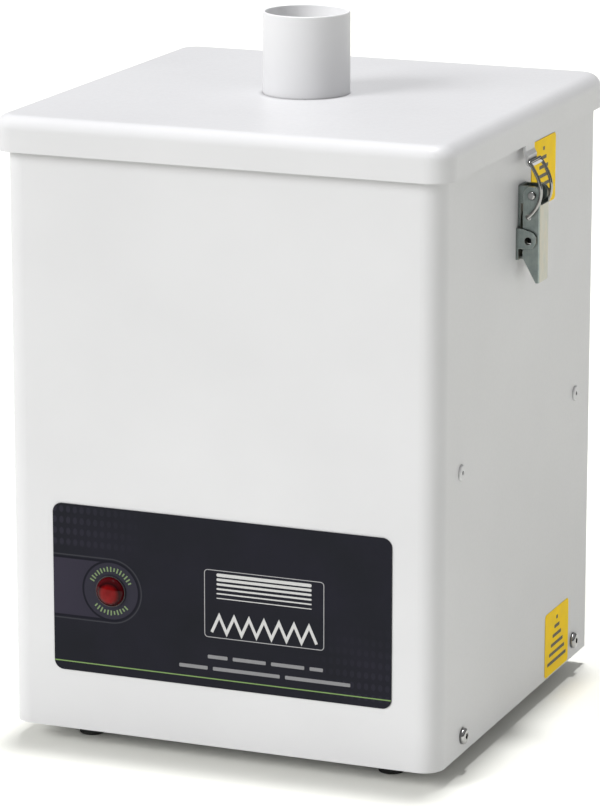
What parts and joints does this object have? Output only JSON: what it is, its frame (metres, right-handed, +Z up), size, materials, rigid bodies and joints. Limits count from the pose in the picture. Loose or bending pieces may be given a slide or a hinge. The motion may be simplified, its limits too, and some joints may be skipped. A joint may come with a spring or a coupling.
{
  "type": "solder fume extractor",
  "caption": "Bench-top solder fume extractor: white steel cabinet, lift-off lid with a hose spigot and toggle latches, dark fascia with a red filter lamp.",
  "frame": {"origin": "on the bench, under the middle of the cabinet footprint", "axes": "+Z up out of the hose spigot, -Y out of the front fascia, +X to the right seen from the front"},
  "size_m": [0.2906, 0.272, 0.411],
  "materials": {
    "white_paint": "satin powder coat",
    "zinc_sheet": "satin zinc plate",
    "zinc_latch": "blue-grey zinc plate",
    "bright_wire": "bright spring wire",
    "bright_screws": "bright plated",
    "black_rubber": "matte",
    "grey_foam": "matte foam",
    "casing_board": "matte",
    "filter_paper": "matte",
    "filter_fleece": "matte fleece",
    "carbon": "granular",
    "galvanised": "galvanised",
    "black_plastic": "satin moulded",
    "grey_plastic": "satin moulded",
    "motor_alloy": "cast",
    "ground_steel": "ground",
    "board_green": "solder mask",
    "component_black": "moulded",
    "grey_lead": "satin insulation",
    "brass": "satin",
    "clear_tube": "translucent silicone",
    "fascia": "satin printed film",
    "red_lens": "glossy red",
    "yellow_film": "satin film"
  },
  "bodies": {
    "cabinet": {"base_plate": "white_paint", "base_screws": "bright_screws", "blower_bracket": "zinc_sheet", "blower_cover": "black_plastic", "blower_housing": "black_plastic", "blower_screws": "bright_screws", "board_components": "component_black", "board_screws": "bright_screws", "board_standoffs": "brass", "bracket_screws": "bright_screws", "cabinet_wrap": "white_paint", "carbon_bed": "carbon", "carbon_grids": "galvanised", "control_board": "board_green", "exhaust_duct": "grey_foam", "fascia_label": "fascia", "filter_casing": "casing_board", "filter_seal": "grey_foam", "foot_screws": "bright_screws", "hepa_frame": "casing_board", "hepa_pleats": "filter_paper", "indicator_body": "black_plastic", "indicator_lens": "red_lens", "indicator_nut": "bright_screws", "inlet_pins": "brass", "inlet_ring": "galvanised", "inlet_screws": "bright_screws", "inlet_socket": "black_plastic", "latch_base_left": "zinc_latch", "latch_base_right": "zinc_latch", "latch_pivots": "bright_screws", "latch_rivets": "zinc_latch", "motor_body": "motor_alloy", "prefilter_pad": "filter_fleece", "pressure_switch": "grey_plastic", "pressure_tap": "brass", "pressure_tube": "clear_tube", "rear_panel": "white_paint", "rear_panel_screws": "bright_screws", "rim_frame": "white_paint", "rocker_frame": "black_plastic", "rubber_feet": "black_rubber", "shelf_plate": "white_paint", "shelf_rivets": "white_paint", "vibration_mounts": "black_rubber", "warning_labels": "yellow_film", "wiring_leads": "grey_lead"},
    "lid": {"lid_shell": "white_paint", "lid_spigot": "white_paint", "lid_gasket": "grey_foam", "lid_catches": "white_paint"},
    "fan": {"impeller": "grey_plastic", "fan_shaft": "ground_steel", "hub_nut": "bright_screws"},
    "rocker": {"rocker_switch": "black_plastic"},
    "fuse_holder": {"fuse_drawer": "black_plastic"},
    "right_lever": {"latch_lever_right": "zinc_latch"},
    "left_lever": {"latch_lever_left": "zinc_latch"},
    "right_bail": {"latch_bail_right": "bright_wire"},
    "left_bail": {"latch_bail_left": "bright_wire"}
  },
  "joints": [
    {"name": "lid_lift", "type": "slide", "parent": "cabinet", "child": "lid", "axis": [0, 0, 1], "range_m": [0, 0.06]},
    {"name": "latch_right_lever", "type": "hinge", "parent": "cabinet", "child": "right_lever", "pos_m": [0.1386, 0.002, 0.315], "axis": [0, -1, 0], "range_deg": [0, 150]},
    {"name": "latch_left_lever", "type": "hinge", "parent": "cabinet", "child": "left_lever", "pos_m": [-0.1386, 0.002, 0.315], "axis": [0, 1, 0], "range_deg": [0, 150]},
    {"name": "latch_right_bail", "type": "hinge", "parent": "right_lever", "child": "right_bail", "pos_m": [0.1366, 0.002, 0.3024], "axis": [0, -1, 0], "range_deg": [-157.6, 0], "deforming": ["latch_bail_right"]},
    {"name": "latch_left_bail", "type": "hinge", "parent": "left_lever", "child": "left_bail", "pos_m": [-0.1366, 0.002, 0.3024], "axis": [0, 1, 0], "range_deg": [-157.6, 0], "deforming": ["latch_bail_left"]},
    {"name": "rocker_toggle", "type": "hinge", "parent": "cabinet", "child": "rocker", "pos_m": [-0.07, 0.1275, 0.104], "axis": [1, 0, 0], "range_deg": [0, 24]},
    {"name": "fuse_drawer_slide", "type": "slide", "parent": "cabinet", "child": "fuse_holder", "axis": [0, 1, 0], "range_m": [0, 0.015]},
    {"name": "fan_spin", "type": "hinge", "parent": "cabinet", "child": "fan", "pos_m": [0.005, 0.005, 0.12], "axis": [0, 0, 1], "continuous": true}
  ],
  "couplings": [
    {"joint": "latch_right_bail", "follows": "latch_right_lever", "ratio": -1.05},
    {"joint": "latch_left_bail", "follows": "latch_left_lever", "ratio": -1.05}
  ]
}
